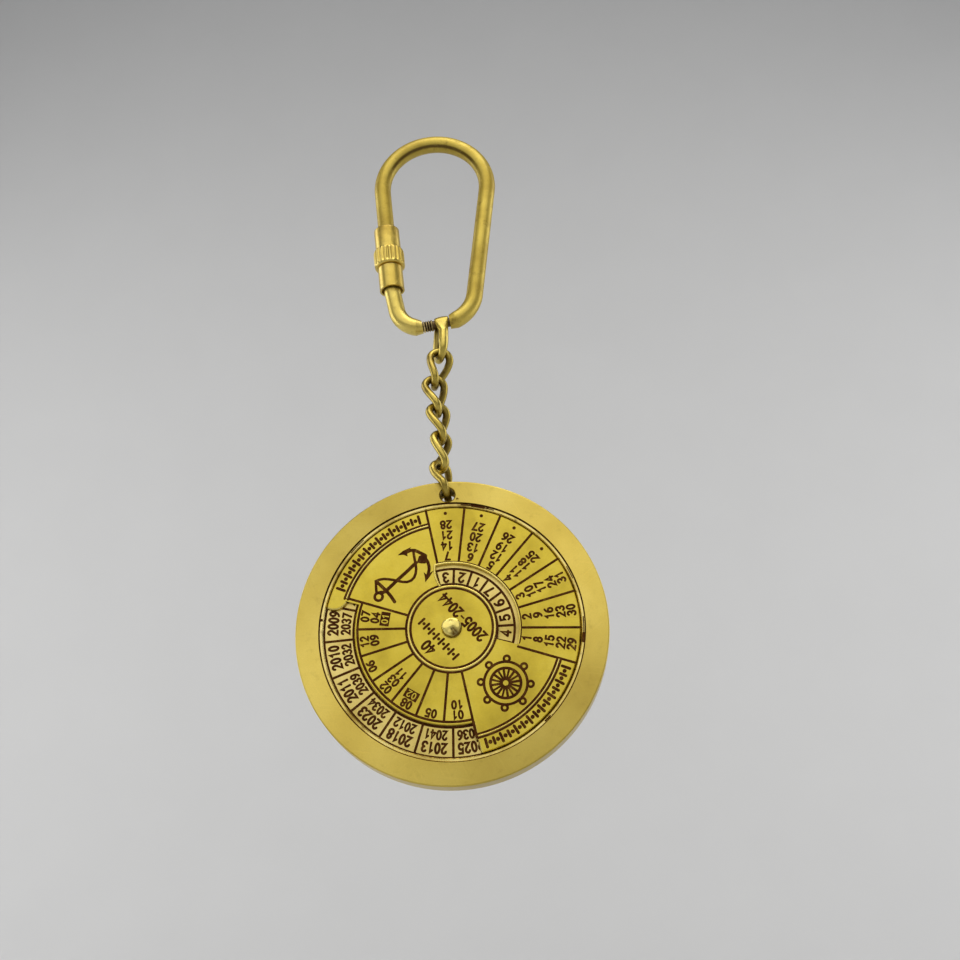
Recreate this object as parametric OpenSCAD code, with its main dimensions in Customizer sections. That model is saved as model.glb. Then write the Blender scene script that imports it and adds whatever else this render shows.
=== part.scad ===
// Perpetual calendar keyring, hanging from its clip.
// Millimetres. X points right, Y away from the viewer and Z up.
// The origin is the highest inner point of the clip, where it hangs on a hook.

/* [Clip] */
// Diameter of the clip's wire
wire_d = 2.7; // [2.3:0.1:2.9]
// Radius of the top arch, measured to the middle of the wire
arch_r = 8.7; // [7.8:0.1:10]
// Lean of the right leg from upright, in degrees
right_lean = 7.9; // [5:0.1:10]
// Lean of the left leg from upright, in degrees
left_lean = 4.1; // [2:0.1:6]
// Lean of the gate arm from upright, in degrees
gate_lean = 10.5; // [8:0.1:13]
// Depth of the neck's middle below the hanging point
neck_drop = 33.25; // [31:0.25:38]
// Sideways place of the neck's middle
neck_x = -0.4; // [-1:0.1:0.4]
// Slope of the neck, in degrees
neck_slope = 8.4; // [0:0.2:10]
// Length of the bare neck between the two arms
neck_len = 4.4; // [4.2:0.1:5]
// Radius of the bend at the foot of the gate arm
gate_bend_r = 4; // [3.6:0.1:4.3]
// Radius of the bend at the foot of the right leg
right_bend_r = 5.8; // [5:0.1:6.2]
// Length of the taper at the end of each arm
taper_len = 1; // [0.6:0.1:1.4]
// Diameter of the gate arm at the neck
tip_d = 2; // [1.9:0.05:2.2]
// Diameter of the right arm at the neck
right_tip_d = 2.2; // [1.9:0.05:2.4]
// Diameter of the pivot pin that forms the neck
pin_d = 1.4; // [1.1:0.05:1.5]
// Depth that the pivot pin goes into each arm
pin_in = 1.2; // [1:0.1:1.3]
// Diameter of the pin's grooved collar between the gate arm and the ring
collar_d = 1.8; // [1.65:0.05:1.9]

/* [Screw lock] */
// Length of bare left leg above the nut
leg_bare = 7.2; // [6.7:0.1:7.7]
// Length of the nut
nut_len = 7.2; // [7:0.1:7.9]
// Diameter of the nut's smooth collar
nut_d = 4.1; // [4:0.05:4.3]
// Length of the nut's smooth collar
nut_collar_len = 3.9; // [3.5:0.1:4.2]
// Diameter of the nut's fluted grip
nut_grip_d = 4.95; // [4.7:0.05:5.1]
// Number of flutes round the nut
flutes = 20; // [16:1:22]
// Diameter of the cutter that makes one flute
flute_d = 0.5; // [0.3:0.05:0.6]
// Diameter of the bush at the end of the left leg
bush_d = 3.4; // [3.2:0.05:3.45]
// Length of the bush
bush_len = 3.8; // [3.5:0.1:4]
// Thickness of the nut's top wall
nut_top_wall = 1.4; // [1:0.1:1.6]
// Travel of the nut up the leg when it is unscrewed
nut_travel = 5; // [4:0.25:5]
// Length of the gate's ferrule
ferrule_len = 4.2; // [3.8:0.1:5]
// Diameter of the gate's ferrule
ferrule_d = 4; // [3.8:0.05:4.1]
// Height of the cone on top of the ferrule
nose_h = 1.2; // [1:0.05:1.3]

/* [Swivel ring] */
// Width of the ring where it wraps the neck
ring_band_w = 2.2; // [1.8:0.05:2.4]
// Thickness of the ring where it wraps the neck
ring_band_t = 0.42; // [0.35:0.01:0.5]
// Wire diameter of the ring's strands
ring_d = 1.6; // [1.4:0.05:1.7]
// Wire diameter at the bottom of the ring, where a link has worn it
ring_foot_d = 1.2; // [1.1:0.05:1.35]
// Depth of the ring's lowest wire below the neck
ring_drop = 6.35; // [6:0.05:8]
// Lean of the ring, in degrees
ring_lean = 5; // [0:0.2:8]

/* [Chain] */
// Wire diameter of the chain
link_d = 1.25; // [1.1:0.05:1.3]
// Inner width of a link
link_gap = 1.9; // [1.6:0.05:2]
// Distance from one link to the next
link_pitch = 4.8; // [4.6:0.05:5.5]
// Turn of the wire between the top and the bottom of a link, in degrees
link_twist = 92; // [86:1:98]
// Lean of the four links and of the end link, in degrees
link_leans = [12, -5, -4, 2.5, -12.5];
// Turn of the top of each of them about its length, in degrees
link_turns = [6, 10, 24, 38, 38];

/* [Case] */
// Diameter of the case
case_d = 45.2; // [44:0.1:50]
// Thickness of the case at its rim
case_t = 3.4; // [3:0.05:3.6]
// Height that the back face stands proud of the rim
back_step = 0.6; // [0.5:0.05:1]
// Diameter of the back face
back_d = 36.8; // [35:0.1:37.4]
// Rounding of the rim's edges
edge_r = 0.2; // [0.15:0.05:0.6]
// Diameter of the hole for the end link
hole_d = 2.2; // [2.15:0.05:2.3]
// Width of metal left between that hole and the rim
hole_wall = 1.05; // [0.9:0.05:1.4]
// Width of metal left between that hole and the recess inside the bezel
hole_web = 0.1; // [0.1:0.05:0.4]

/* [Calendar] */
// Thickness of the calendar plate
plate_t = 0.8; // [0.7:0.05:1]
// Depth of the dial's face below the bezel
dial_sunk = 0.25; // [0.15:0.05:0.4]
// Thickness of the dial
dial_t = 0.55; // [0.4:0.05:0.7]
// Gap between the dial and the retaining ring
dial_gap = 0.16; // [0.1:0.02:0.3]
// Radius of the dial where it is cut back for the years
years_r = 14.05; // [13.8:0.05:14.2]
// Angle where the cut for the years starts, in degrees
years_from = 162.5; // [161:0.5:164]
// Angle where the cut for the years ends, in degrees
years_to = 281.8; // [280:0.2:283]
// Inner radius of the window for the weekdays
window_in = 6.4; // [6.2:0.05:6.6]
// Outer radius of the window for the weekdays
window_out = 9.85; // [9.5:0.05:10]
// Angle where the window starts, in degrees
window_from = -17.5; // [-19:0.5:-16]
// Angle where the window ends, in degrees
window_to = 102; // [100:0.5:103]
// Width of the retaining ring
rim_ring_w = 0.6; // [0.5:0.05:0.65]
// Depth of the retaining ring's crest below the bezel
rim_ring_sunk = 0.3; // [0.2:0.05:0.5]

/* [Rivet] */
// Diameter of the rivet's shank
shank_d = 1.7; // [1.4:0.05:2]
// Diameter of the rivet's head
head_d = 3; // [2.8:0.1:3.6]
// Height of the rivet's head
head_h = 1; // [0.7:0.05:1.2]
// Diameter of the friction washer behind the dial
washer_d = 6.4; // [5:0.1:8]
// Thickness of the friction washer
washer_t = 0.26; // [0.2:0.02:0.3]
// Diameter of the washer at the back
back_washer_d = 5.2; // [4.6:0.1:6]
// Thickness of the washer at the back
back_washer_t = 0.5; // [0.4:0.05:0.6]
// Height of the rivet's closed end
tail_h = 0.45; // [0.3:0.05:0.5]

/* [Hidden] */
$fn = 96;

// Colours of the two kinds of brass and of the dark pin
brass = [0.72, 0.60, 0.24];
pale_brass = [0.80, 0.68, 0.32];
dark_brass = [0.36, 0.28, 0.12];

// Running clearance, side clearance and the gap where two pieces hang in each other
fit = 0.04;
slack = 0.1;
hook_gap = 0.05;
// Length that a cutter runs past the face that it opens
over = 0.5;
// A straight piece of the clip's wire is a trifle thinner, and runs this far into a bend
joint = 0.1;
core_d = wire_d - 0.02;

// The clip's centre line lies in the XZ plane, where points are [x, z]
function unit(v) = v / norm(v);
function left_of(v) = [-v[1], v[0]];
function area2(a, b) = a[0] * b[1] - a[1] * b[0];
function turn_of(u, v) = atan2(area2(u, v), u * v);
function ray(a) = [cos(a), sin(a)];

arch_mid = [0, wire_d / 2 - arch_r];
right_start = arch_mid + arch_r * ray(-right_lean);
left_start = arch_mid + arch_r * ray(180 + left_lean);
right_way = ray(-90 - right_lean);
left_way = ray(-90 + left_lean);
neck_mid = [neck_x, -neck_drop];
neck_way = ray(neck_slope);
neck_right = neck_mid + neck_way * neck_len / 2;
neck_left = neck_mid - neck_way * neck_len / 2;

// The bend that leaves the line from p along way and meets q, to the left of the way for side 1
// and to the right for side -1, as [distance of its start from p, its middle, its sweep]
function foot_bend(p, way, q, r, side) =
    let (
        across = side * left_of(way),
        off = (q - p) * across,
        run = (q - p) * way - sqrt(off * (2 * r - off))
    )
    [run, p + way * run + across * r, acos(1 - off / r)];
right_bend = foot_bend(right_start, right_way, neck_right, right_bend_r, -1);

// Places along the left leg, measured from the end of the arch
nut_at = leg_bare;
seam_at = nut_at + nut_len;
bush_at = nut_at + nut_top_wall + slack;
mouth_at = seam_at + ferrule_len;
seam_gap = 0.02;
kink_r = 8;
gate_way = ray(-90 + gate_lean);
kink = left_start + left_way * (mouth_at + seam_gap);
gate_bend = foot_bend(kink, gate_way, neck_left, gate_bend_r, 1);
ferrule_grip = 2.6;
mouth_depth = 1.1;
mouth_d = ferrule_d - 0.6;
nut_bore_d = bush_d + 2 * fit;

// The swivel ring turns on the neck beside the right arm
ring_bore_d = pin_d + 2 * fit;
ring_mid = neck_right - neck_way * (ring_band_w / 2 + slack);
ring_strand_y = (link_d + ring_d) / 2 + 2 * slack;
ring_foot_angle = 112;
ring_twist_share = 0.5;

// A link is a loop of wire: two round ends, and strands that twist between them
link_r = (link_gap + link_d) / 2;
hook = link_d + hook_gap;
link_h = link_pitch + hook;
ring_hook = (ring_foot_d + link_d) / 2 + 2 * hook_gap;
end_half = case_t / 2 + 3 * slack + link_d / 2;
end_flat = 0.65;
end_twist_share = 0.78;
section_n = 12;
rings_n = 44;

// Up along a piece that leans by a degrees, as [x, z]
function up(a) = [sin(a), cos(a)];
ring_foot = ring_mid - up(ring_lean) * ring_drop;
function reach(i) = i == 0 ? link_h - ring_hook : link_pitch;
function foot(i) = i < 0 ? ring_foot : foot(i - 1) - up(link_leans[i]) * reach(i);
function head_of(i) = foot(i) + up(link_leans[i]) * link_h;

// The bezel is as wide as the hole and the metal on both sides of it
hole_at = case_d / 2 - hole_wall - hole_d / 2;
recess_d = case_d - 2 * (hole_wall + hole_d + hole_web);

// The case hangs on the end link
end_slope = atan(end_flat * case_t / 2 / sqrt(pow(end_half, 2) - pow(case_t / 2, 2)));
end_sag = end_flat * (end_half - sqrt(pow(end_half, 2) - pow(case_t / 2, 2)));
hole_top = end_sag + link_d / 2 / cos(end_slope) + hook_gap;
end_foot = foot(len(link_leans) - 1);
case_mid = end_foot + [0, hole_top - hole_d / 2 - hole_at];

// Heights in the case, measured from its middle towards the viewer
front_h = case_t / 2;
plate_h = front_h - dial_sunk - dial_t - fit;
floor_h = plate_h - plate_t;
back_h = -case_t / 2 - back_step;
pocket_h = back_h + slack + tail_h + back_washer_t;
rim_ring_d = recess_d - 2 * fit;
dial_d = rim_ring_d - 2 * (rim_ring_w + dial_gap);
rivet_bore_d = shank_d + 2 * fit;

// Runs from p to q in the XZ plane
module rod(p, q, d) {
    v = q - p;
    translate([p[0], 0, p[1]])
        rotate([0, 90 - atan2(v[1], v[0]), 0])
            cylinder(h = norm(v), d = d);
}

// A bent rod round mid in the XZ plane, from angle a through the given sweep
module elbow(mid, r, a, sweep, d) {
    translate([mid[0], 0, mid[1]])
        rotate([90, 0, 0])
            rotate([0, 0, min(a, a + sweep)])
                rotate_extrude(angle = abs(sweep))
                    translate([r, 0])
                        circle(d = d);
}

// A bend of radius r at corner, between the ways u and v
module corner_bend(corner, u, v, r, d) {
    turn = turn_of(u, v);
    start = corner - u * r * tan(abs(turn) / 2);
    mid = start + left_of(u) * r * sign(turn);
    arm = start - mid;
    elbow(mid, r, atan2(arm[1], arm[0]), turn, d);
}

// The foot of an arm: a bend that runs a little past the neck's end
module arm_foot(bend, way, r, side) {
    out = -side * left_of(way);
    elbow(bend[1], r, atan2(out[1], out[0]), side * (bend[2] + joint / r * 180), wire_d);
}

// What is turned off the foot of an arm, so that it narrows to end_d at the neck's end q
module foot_cut(bend, q, r, side, end_d) {
    slope = (wire_d - end_d) / 2 / taper_len;
    deep = 1.15 * taper_len;
    out = q - bend[1];
    // The cone lies along the chord of the last piece of the bend
    lean = atan2(out[1], out[0]) - side * (90 + taper_len / r * 90 / PI);
    translate([q[0], 0, q[1]])
        rotate([0, 90 - lean, 0])
            rotate_extrude()
                polygon([
                    [end_d / 2 - slope * over, -over], [wire_d, -over],
                    [wire_d, deep], [end_d / 2 + slope * deep, deep]
                ]);
}

// Places a piece that is drawn along +Z from the given distance down the left leg
module along_leg(s) {
    p = left_start + left_way * s;
    translate([p[0], 0, p[1]])
        rotate([0, -left_lean, 0])
            children();
}

// Places a piece that is drawn along +Z on the neck, starting at p
module along_neck(p) {
    translate([p[0], 0, p[1]])
        rotate([0, 90 - neck_slope, 0])
            children();
}

module clip_frame() color(brass) {
    bend_start = right_start + right_way * right_bend[0];
    leg_end = left_start + left_way * (bush_at + bush_len - over);
    difference() {
        union() {
            elbow(arch_mid, arch_r, -right_lean, 180 + right_lean + left_lean, wire_d);
            rod(right_start - right_way * joint, bend_start + right_way * joint, core_d);
            arm_foot(right_bend, right_way, right_bend_r, -1);
            rod(left_start - left_way * joint, leg_end, core_d);
        }
        foot_cut(right_bend, neck_right, right_bend_r, -1, right_tip_d);
        along_neck(neck_right - neck_way * neck_len)
            cylinder(h = neck_len, d = 2 * wire_d);
        along_neck(neck_right - neck_way * over)
            cylinder(h = pin_in + over, d = pin_d);
    }
}

// Threaded bush, closed at the bottom, that holds the nut on the leg
module leg_bush() color(pale_brass) {
    groove = 0.08;
    pitch = 0.5;
    along_leg(bush_at + bush_len)
        difference() {
            cylinder(h = bush_len, d = bush_d);
            translate([0, 0, over])
                cylinder(h = bush_len, d = core_d);
            for (z = [pitch : pitch : bush_len - pitch])
                translate([0, 0, z])
                    rotate_extrude()
                        translate([bush_d / 2 - groove, -pitch / 4])
                            square([over, pitch / 2]);
        }
}

module lock_nut() color(brass) {
    edge = 0.25;
    lip = 0.5;
    shoulder = 0.8;
    r = nut_d / 2;
    grip_r = nut_grip_d / 2;
    grip_h = nut_len - nut_collar_len;
    along_leg(seam_at)
        difference() {
            rotate_extrude()
                polygon([
                    [0, 0], [grip_r - edge, 0], [grip_r, edge], [grip_r, grip_h - shoulder],
                    for (w = [30 : 30 : 90])
                        [r + (grip_r - r) * cos(w), grip_h - shoulder * (1 - sin(w))],
                    [r, nut_len - edge], [r - edge, nut_len], [0, nut_len]
                ]);
            translate([0, 0, -over])
                cylinder(h = nut_len - nut_top_wall + over, d = nut_bore_d);
            cylinder(h = nut_len + over, d = wire_d + 2 * fit);
            for (i = [0 : flutes - 1])
                rotate([0, 0, i * 360 / flutes])
                    translate([grip_r + flute_d * 0.2, 0, lip])
                        cylinder(h = grip_h - lip, d = flute_d, $fn = 24);
        }
}

// Cone, collar and hollow mouth at the top of the gate arm
module gate_ferrule() color(brass) {
    edge = 0.15;
    r = ferrule_d / 2;
    base_r = nut_bore_d / 2 - 0.12;
    tip_r = base_r - nose_h * 0.88;
    along_leg(mouth_at)
        difference() {
            rotate_extrude()
                polygon([
                    [0, 0], [r, 0], [r, ferrule_len - seam_gap - edge],
                    [r - edge, ferrule_len - seam_gap], [base_r, ferrule_len - seam_gap],
                    [tip_r, ferrule_len + nose_h], [0, ferrule_len + nose_h]
                ]);
            translate([0, 0, -over])
                cylinder(h = mouth_depth + over, d = mouth_d);
            cylinder(h = mouth_depth + ferrule_grip, d = core_d);
        }
}

module gate_arm() color(brass) {
    kink_tangent = kink_r * tan(abs(turn_of(left_way, gate_way)) / 2);
    top = left_start + left_way * (mouth_at - mouth_depth - ferrule_grip);
    bend_start = kink + gate_way * gate_bend[0];
    difference() {
        union() {
            rod(top, kink - left_way * (kink_tangent - joint), core_d);
            corner_bend(kink, left_way, gate_way, kink_r, wire_d);
            rod(kink + gate_way * (kink_tangent - joint), bend_start + gate_way * joint, core_d);
            arm_foot(gate_bend, gate_way, gate_bend_r, 1);
        }
        foot_cut(gate_bend, neck_left, gate_bend_r, 1, tip_d);
        along_neck(neck_left)
            cylinder(h = neck_len, d = 2 * wire_d);
        along_neck(neck_left - neck_way * (pin_in + fit))
            cylinder(h = pin_in + fit + over, d = pin_d + 2 * fit);
    }
}

// The neck: a pin with a grooved collar between the gate arm and the ring
module pivot_pin() color(dark_brass) {
    long = neck_len + 2 * pin_in;
    // The ring leans, so its lower side comes closer to the collar
    lean_room = 0.45;
    collar_len = neck_len - ring_band_w - 2 * slack - lean_room;
    groove = 0.1;
    grooves = [0.25, 0.5, 0.75];
    along_neck(neck_left - neck_way * pin_in)
        difference() {
            union() {
                cylinder(h = long, d = pin_d);
                translate([0, 0, pin_in + slack])
                    cylinder(h = collar_len, d = collar_d);
            }
            for (s = grooves)
                translate([0, 0, pin_in + slack + s * collar_len])
                    rotate_extrude()
                        translate([collar_d / 2 - groove, -groove])
                            square([over, 2 * groove]);
        }
}

// A loop's centre line seen flat: a top arc of radius a, a bottom arc of half
// width b and height b * flat, and tangent strands. s runs from 0 to 1 down one side.
function loop_slope(a, b, long) = asin((b - a) / long);
function loop_lengths(a, b, long) = let (w = loop_slope(a, b, long)) [
    a * (90 - w) * PI / 180,
    sqrt(pow(long, 2) - pow(b - a, 2)),
    b * (90 + w) * PI / 180
];
function arc_point(r, w, z, flat) = [r * cos(w), z + r * flat * sin(w)];
function half_loop(s, a, b, long, flat) =
    let (
        w = loop_slope(a, b, long),
        part = loop_lengths(a, b, long),
        run = s * (part[0] + part[1] + part[2]),
        on_top = run <= part[0],
        on_side = run <= part[0] + part[1],
        side = (run - part[0]) / part[1],
        low = (run - part[0] - part[1]) / part[2],
        from = arc_point(a, w, 0, 1),
        to = arc_point(b, w, -long, flat)
    )
    on_top ? arc_point(a, 90 - (90 - w) * run / part[0], 0, 1)
    : on_side ? from + (to - from) * side
    : arc_point(b, w - (90 + w) * low, -long, flat);
function ease(t) = t * t * (3 - 2 * t);

// A closed loop of wire with its top wire at the origin and its lowest wire h below.
// It twists from the first of turns at the top to the second at the depth twist_h.
// drift moves the bottom sideways, and each row of sizes is [s, thickness, width] of
// the wire, from s = 0 at the top.
module wire_loop(a, b, h, flat, turns, twist_h, drift, sizes) {
    long = h - a - b * flat;
    thick = [for (row = sizes) [row[0], row[1]]];
    wide = [for (row = sizes) [row[0], row[2]]];
    function down(k) = 1 - abs(1 - 2 * (k % rings_n) / rings_n);
    function side(k) = 2 * (k % rings_n) < rings_n ? 1 : -1;
    function depth(k) = (a - half_loop(down(k), a, b, long, flat)[1]) / h;
    function turn(k) = turns[0] + (turns[1] - turns[0]) * ease(min(1, depth(k) * h / twist_h));
    function middle(k) =
        let (p = half_loop(down(k), a, b, long, flat), out = side(k) * p[0])
        [out * cos(turn(k)) + drift * depth(k), out * sin(turn(k)), p[1] - a];
    function ring_at(k) =
        let (
            along = unit(middle(k + 1) - middle(k + rings_n - 1)),
            across = unit(cross([-sin(turn(k)), cos(turn(k)), 0], along)),
            flatwise = cross(along, across)
        )
        [for (j = [0 : section_n - 1]) let (w = 360 * j / section_n)
            middle(k) + across * cos(w) * lookup(down(k), thick) / 2
            + flatwise * sin(w) * lookup(down(k), wide) / 2];
    function corner(k, j) = (k % rings_n) * section_n + j % section_n;
    polyhedron(
        points = [for (k = [0 : rings_n - 1]) each ring_at(k)],
        faces = [for (k = [0 : rings_n - 1], j = [0 : section_n - 1]) each [
            [corner(k, j), corner(k + 1, j), corner(k + 1, j + 1)],
            [corner(k, j), corner(k + 1, j + 1), corner(k, j + 1)]
        ]]
    );
}

// Flat band round the neck, and two strands that join below
module swivel_ring() color(brass) {
    a = (ring_bore_d + ring_band_t) / 2;
    drop = ring_drop * cos(neck_slope + ring_lean);
    drift = -ring_drop * sin(neck_slope + ring_lean);
    difference() {
        translate([ring_mid[0], 0, ring_mid[1]])
            rotate([0, -neck_slope, 0])
                translate([0, 0, a])
                    wire_loop(a, ring_strand_y, drop + a, 1, [90, ring_foot_angle],
                              ring_twist_share * drop, drift, [
                        [0, ring_band_t, ring_band_w], [0.16, ring_band_t, ring_band_w],
                        [0.4, ring_d, ring_d], [0.6, ring_d, ring_d],
                        [0.88, ring_foot_d, ring_foot_d], [1, ring_foot_d, ring_foot_d]
                    ]);
        along_neck(ring_mid - neck_way * ring_band_w)
            cylinder(h = 2 * ring_band_w, d = ring_bore_d);
    }
}

// Link i of the chain, where 0 hangs on the swivel ring
module chain_link(i, b = link_r, flat = 1, turn_foot = 0, twist_h = link_h) {
    p = head_of(i);
    turns = [link_turns[i], turn_foot > 0 ? turn_foot : link_turns[i] + link_twist];
    color(i % 2 == 0 ? brass : pale_brass)
        translate([p[0], 0, p[1]])
            rotate([0, link_leans[i], 0])
                wire_loop(link_r, b, link_h, flat, turns, twist_h, 0, [
                    [0, link_d, link_d], [1, link_d, link_d]
                ]);
}
module chain_link_1() chain_link(0);
module chain_link_2() chain_link(1);
module chain_link_3() chain_link(2);
module chain_link_4() chain_link(3);

// The end link is wide and flat at the bottom, because it goes round the rim
module end_link() chain_link(4, end_half, end_flat, 90, end_twist_share * link_h);

// Places a piece of the case: X and Y across its face, and Z towards the viewer
module at_case() {
    translate([case_mid[0], 0, case_mid[1]])
        rotate([90, 0, 0])
            children();
}

// Part of a ring between two radii, two heights and two angles, with its upper
// edges cut back by bevel, so that it cuts a bevelled opening
module ring_cut(r0, r1, z0, z1, a0, a1, bevel) {
    rotate([0, 0, a0])
        rotate_extrude(angle = a1 - a0)
            polygon([
                [r0, z0 - over], [r1, z0 - over], [r1, z1 - bevel],
                [r1 + bevel + over, z1 + over], [r0 - bevel - over, z1 + over], [r0, z1 - bevel]
            ]);
}

// Cuts the outer corner of a turned profile to a round edge of radius r
module corner_cut(x, y, way, r) {
    translate([x - r, y - way * r])
        difference() {
            translate([0, way > 0 ? 0 : -r - over])
                square([r + over, r + over]);
            circle(r = r);
        }
}

module case_base() color(brass) {
    r = case_d / 2;
    back_edge = 0.2;
    hole_edge = 0.15;
    dot = [1.48, -0.75];
    dot_d = 0.4;
    dot_depth = 0.3;
    at_case()
        difference() {
            rotate_extrude()
                difference() {
                    union() {
                        translate([0, -case_t / 2])
                            square([r, case_t]);
                        polygon([
                            [0, back_h], [back_d / 2 - back_edge, back_h],
                            [back_d / 2, back_h + back_edge], [back_d / 2, 0], [0, 0]
                        ]);
                    }
                    translate([0, floor_h])
                        square([recess_d / 2, case_t]);
                    corner_cut(r, front_h, 1, edge_r);
                    corner_cut(r, -front_h, -1, edge_r);
                }
            translate([0, hole_at, -case_t])
                cylinder(h = 2 * case_t, d = hole_d);
            for (way = [-1, 1])
                translate([0, hole_at, way * (front_h - hole_edge)])
                    mirror([0, 0, way < 0 ? 1 : 0])
                        cylinder(h = over, d1 = hole_d, d2 = hole_d + 2 * over);
            translate([dot[0], hole_at + dot[1], front_h - dot_depth])
                cylinder(h = over, d = dot_d);
            translate([0, 0, back_h - over])
                cylinder(h = 2 * case_t, d = rivet_bore_d);
            translate([0, 0, back_h - over])
                cylinder(h = pocket_h - back_h + over, d = back_washer_d + 2 * slack);
        }
}

module calendar_plate() color(pale_brass)
    at_case()
        translate([0, 0, floor_h])
            difference() {
                cylinder(h = plate_t, d = rim_ring_d);
                translate([0, 0, -over])
                    cylinder(h = plate_t + 2 * over, d = rivet_bore_d);
                translate([0, 0, plate_t - washer_t])
                    cylinder(h = washer_t + over, d = washer_d + 2 * slack);
            }

// Keeps the plate in its recess, and is staked in three places
module retaining_ring() color(pale_brass) {
    edge = 0.16;
    r1 = rim_ring_d / 2;
    r0 = r1 - rim_ring_w;
    top = front_h - rim_ring_sunk;
    stakes = [72, 173.7, 315.8];
    stake_d = 0.5;
    at_case()
        difference() {
            rotate_extrude()
                polygon([
                    [r0, plate_h], [r1, plate_h], [r1, top - edge], [r1 - edge, top],
                    [r0 + edge, top], [r0, top - edge]
                ]);
            for (a = stakes)
                rotate([0, 0, a])
                    translate([r1, 0, top - edge])
                        cylinder(h = over, d = stake_d, $fn = 24);
        }
}

module friction_washer() color(brass)
    at_case()
        translate([0, 0, plate_h - washer_t])
            difference() {
                cylinder(h = washer_t, d = washer_d);
                translate([0, 0, -over])
                    cylinder(h = washer_t + 2 * over, d = rivet_bore_d);
            }

// Turning dial, cut back over the years and open over the weekdays
module dial() color(brass) {
    bevel = 0.12;
    r = dial_d / 2;
    low = plate_h + fit;
    top = low + dial_t;
    deep = dial_t + 4 * over;
    band_w = 2.35;
    // The end of the band before the cut is round
    tongue_r = 1.81;
    tongue_in = 0.62;
    tongue_angle = years_from - 0.8;
    spare_angle = 8;
    // The end of the window bulges
    bulge = 0.45;
    half = (window_out - window_in) / 2 + 0.3;
    bulge_r = (pow(half, 2) + pow(bulge, 2)) / (2 * bulge);
    at_case()
        difference() {
            rotate_extrude()
                polygon([[0, low], [r, low], [r, top - bevel], [r - bevel, top], [0, top]]);
            difference() {
                ring_cut(years_r, r + over, low, top, years_from, years_to, bevel);
                ring_cut(r - band_w, r + 4 * over, low - over, top + over,
                         tongue_angle - spare_angle, tongue_angle, 0);
                rotate([0, 0, tongue_angle])
                    translate([r - tongue_in, 0, low - 2 * over])
                        cylinder(h = deep, r = tongue_r);
            }
            difference() {
                ring_cut(window_in, window_out, low, top, window_from, window_to + spare_angle, bevel);
                rotate([0, 0, window_to])
                    difference() {
                        translate([0, 0, low - 2 * over])
                            cube([r, r, deep]);
                        translate([(window_in + window_out) / 2, bulge - bulge_r, low - 3 * over])
                            cylinder(h = deep + 2 * over, r = bulge_r);
                    }
            }
            translate([0, 0, low - over])
                cylinder(h = dial_t + 2 * over, d = rivet_bore_d);
        }
}

// Holds the dial, the plate and the case together
module centre_rivet() color(brass) {
    head_low = front_h - dial_sunk + fit;
    head_top = head_low + head_h;
    head_edge = 0.3;
    tail_top = back_h + slack + tail_h;
    tail_d = 2.8;
    tail_edge = 0.2;
    at_case()
        rotate_extrude()
            polygon([
                [0, tail_top - tail_h], [tail_d / 2 - tail_edge, tail_top - tail_h],
                [tail_d / 2, tail_top - tail_h + tail_edge], [tail_d / 2, tail_top],
                [shank_d / 2, tail_top], [shank_d / 2, head_low], [head_d / 2, head_low],
                [head_d / 2, head_top - head_edge], [head_d / 2 - head_edge, head_top],
                [0, head_top]
            ]);
}

module back_washer() color(pale_brass)
    at_case()
        translate([0, 0, pocket_h - back_washer_t])
            difference() {
                cylinder(h = back_washer_t, d = back_washer_d);
                translate([0, 0, -over])
                    cylinder(h = back_washer_t + 2 * over, d = rivet_bore_d);
            }

clip_frame();
leg_bush();
lock_nut();
gate_ferrule();
gate_arm();
pivot_pin();
swivel_ring();
chain_link_1();
chain_link_2();
chain_link_3();
chain_link_4();
end_link();
case_base();
calendar_plate();
retaining_ring();
friction_washer();
dial();
centre_rivet();
back_washer();
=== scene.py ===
from datetime import date
from math import asin, atan2, ceil, cos, degrees, pi, radians, sin, sqrt

import bmesh
import bpy
from mathutils import Matrix, Vector


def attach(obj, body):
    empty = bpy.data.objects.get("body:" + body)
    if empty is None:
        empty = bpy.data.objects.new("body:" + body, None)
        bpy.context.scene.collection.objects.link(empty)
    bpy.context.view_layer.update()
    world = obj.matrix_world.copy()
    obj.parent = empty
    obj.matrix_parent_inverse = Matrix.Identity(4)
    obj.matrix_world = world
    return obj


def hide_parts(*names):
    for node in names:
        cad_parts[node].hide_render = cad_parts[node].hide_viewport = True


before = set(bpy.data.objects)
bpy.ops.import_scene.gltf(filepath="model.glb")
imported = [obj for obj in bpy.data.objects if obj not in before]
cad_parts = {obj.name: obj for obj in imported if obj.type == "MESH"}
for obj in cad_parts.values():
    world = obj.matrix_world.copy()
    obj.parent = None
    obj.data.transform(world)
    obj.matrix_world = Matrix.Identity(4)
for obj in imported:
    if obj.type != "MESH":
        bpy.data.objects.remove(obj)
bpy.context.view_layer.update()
MM = 0.001

# Sizes repeated from the part's source
CLIP_D, ARCH_R = 2.7, 8.7        # the clip's wire, and the arch at its top
ARCH_Z = CLIP_D / 2 - ARCH_R     # height of the arch's centre
LEFT_LEAN, SEAM_AT = 4.1, 14.4   # lean of the clip's left leg, and where the nut ends on it
NECK_MID, NECK_SLOPE, NECK_LEN = (-0.4, 0, -33.25), 8.4, 4.4
NECK_WAY = Vector((cos(radians(NECK_SLOPE)), 0, sin(radians(NECK_SLOPE))))
SLACK, HOOK_GAP = 0.1, 0.05      # gaps at pieces that turn, and between hooked links
FOOT_D, RING_DROP, RING_LEAN = 1.2, 6.35, 5.0
WIRE_D = 1.25                    # wire of the links
CASE_T, CASE_MID = 3.4, (0.62577, -83.53192)
PLATE_FACE, DIAL_FACE = 0.86, 1.45
CELL = 360 / 21                  # one of the plate's 21 columns
CUT_TO, WINDOW_TO = 281.8, 102   # where the dial's cut over the years ends, and its window
WINDOW_IN, WINDOW_OUT = 6.4, 9.85

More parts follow.
